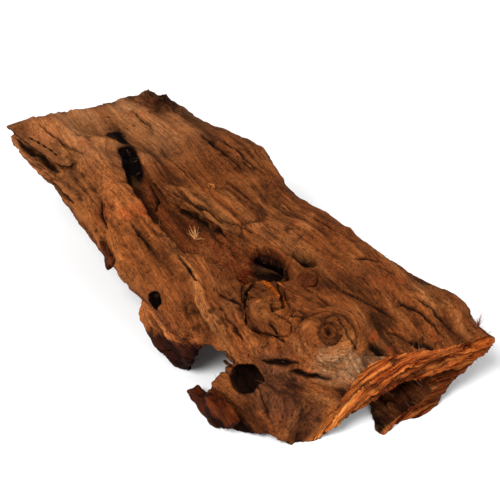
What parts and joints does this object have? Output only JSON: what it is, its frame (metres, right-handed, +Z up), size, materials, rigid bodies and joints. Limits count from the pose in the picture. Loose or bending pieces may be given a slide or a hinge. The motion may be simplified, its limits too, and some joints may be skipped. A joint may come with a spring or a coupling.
{
  "type": "bogwood cave ornament",
  "caption": "Hollow length of weathered brown bogwood, sawn across one end, standing on ragged roots over a cave, with a trough and a knot hole in its back.",
  "frame": {"origin": "middle of the underside of the whole object's box, on the plane it stands on", "axes": "+X along the grain towards the sawn end, +Y across the slab away from the wall with the arch, +Z up"},
  "size_m": [0.3838, 0.1979, 0.115],
  "materials": {
    "weathered_wood": "dull, dry, weathered brown bogwood",
    "dark_root": "dull, dark red-brown root wood",
    "knot_wood": "dull, dense knot wood",
    "pale_splinter": "dry, pale, fresh splinters"
  },
  "bodies": {
    "root": {"trunk": "weathered_wood", "hollow_lobe": "weathered_wood", "left_root": "dark_root", "rear_root": "dark_root", "root_flake": "dark_root", "crest_nub": "weathered_wood", "round_knot": "knot_wood", "small_knot": "knot_wood", "stub_wedge_left": "weathered_wood", "stub_wedge_right": "knot_wood", "stub_block": "weathered_wood", "hanging_sliver": "dark_root", "gap_twig": "dark_root", "trough_splinters": "pale_splinter", "corner_splinters": "pale_splinter", "pale_chip": "pale_splinter", "upper_plate": "weathered_wood", "lower_plate": "dark_root"}
  },
  "joints": []
}
